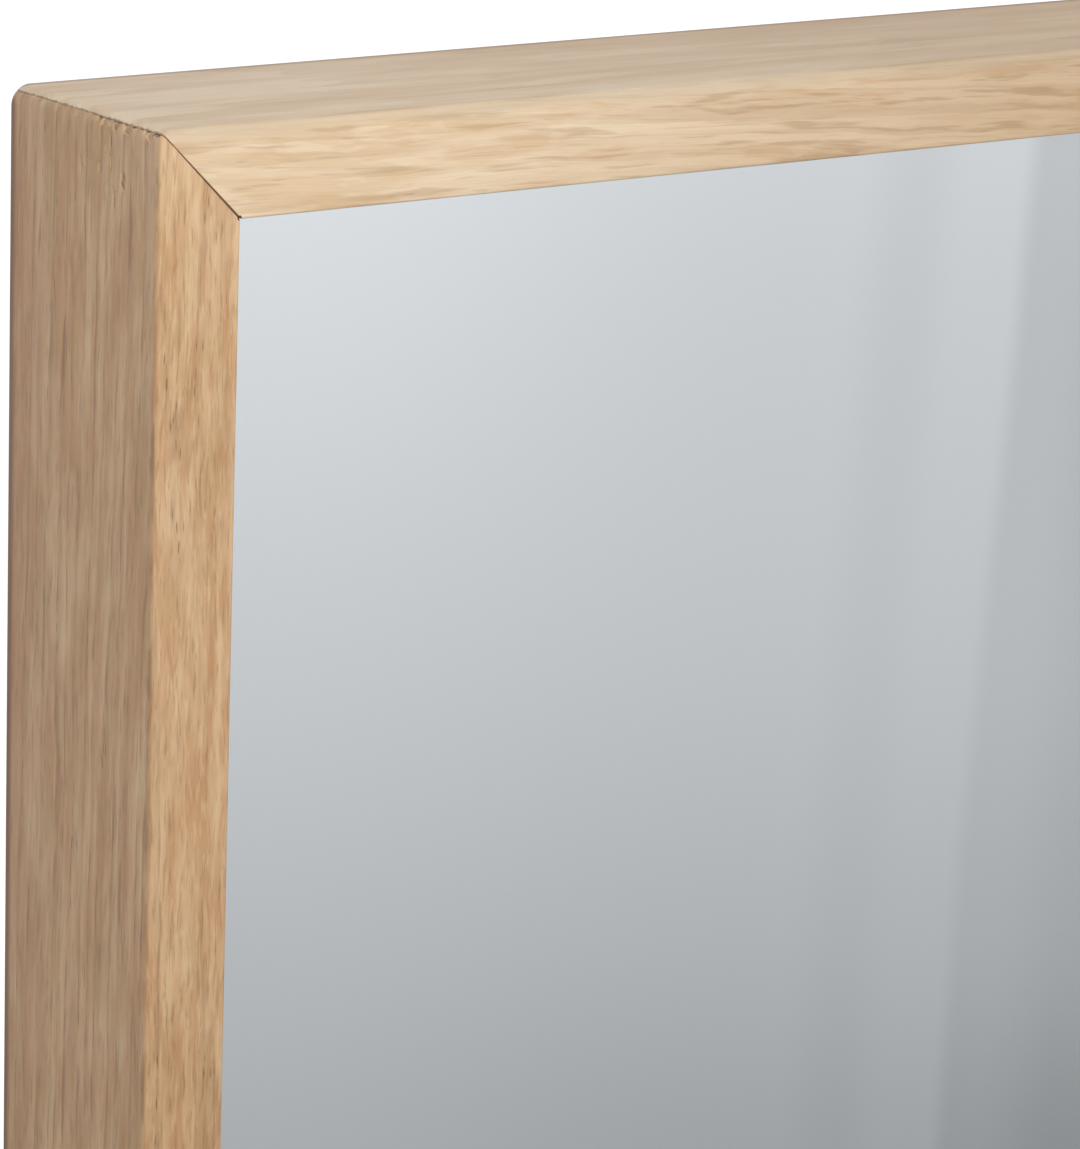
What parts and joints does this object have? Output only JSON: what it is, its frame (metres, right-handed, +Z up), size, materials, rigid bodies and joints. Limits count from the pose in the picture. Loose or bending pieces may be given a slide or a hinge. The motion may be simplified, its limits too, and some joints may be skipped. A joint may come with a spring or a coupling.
{
  "type": "framed wall mirror",
  "caption": "Rectangular wall mirror in a deep, narrow mitred oak frame, with a backing board, pine battens and swinging hanger rings behind.",
  "frame": {"origin": "middle of the frame's back, on the wall plane", "axes": "+X to the right as seen from the room, +Y into the wall, +Z up; the front face looks along -Y"},
  "size_m": [0.6, 0.047, 0.8],
  "materials": {
    "oak_left_stile": "matte",
    "oak_right_stile": "matte",
    "oak_top_rail": "matte",
    "oak_bottom_rail": "matte",
    "float_glass": "polished",
    "silver_coat": "polished",
    "foam": "matte",
    "mdf": "matte",
    "block_rubber": "matte",
    "pine": "matte",
    "zinc_screw": "satin",
    "zinc_strip": "satin",
    "zinc_wire": "satin",
    "bumper_rubber": "matte",
    "nail_steel": "satin"
  },
  "bodies": {
    "frame": {"left_stile": "oak_left_stile", "right_stile": "oak_right_stile", "top_rail": "oak_top_rail", "bottom_rail": "oak_bottom_rail", "mirror_glass": "float_glass", "mirror_silvering": "silver_coat", "foam_sheet": "foam", "backing_board": "mdf", "setting_blocks": "block_rubber", "left_batten": "pine", "right_batten": "pine", "top_batten": "pine", "bottom_batten": "pine", "batten_screws": "zinc_screw", "hanger_strap_left": "zinc_strip", "hanger_strap_right": "zinc_strip", "hanger_screws": "zinc_screw", "wall_bumpers": "bumper_rubber", "mitre_v_nails": "nail_steel"},
    "ring_left": {"hanger_ring_left": "zinc_wire"},
    "ring_right": {"hanger_ring_right": "zinc_wire"}
  },
  "joints": [
    {"name": "ring_left_swing", "type": "hinge", "parent": "frame", "child": "ring_left", "pos_m": [-0.2765, -0.00642, 0.29], "axis": [-1, 0, 0], "range_deg": [0, 176]},
    {"name": "ring_right_swing", "type": "hinge", "parent": "frame", "child": "ring_right", "pos_m": [0.2765, -0.00642, 0.29], "axis": [-1, 0, 0], "range_deg": [0, 176]}
  ]
}
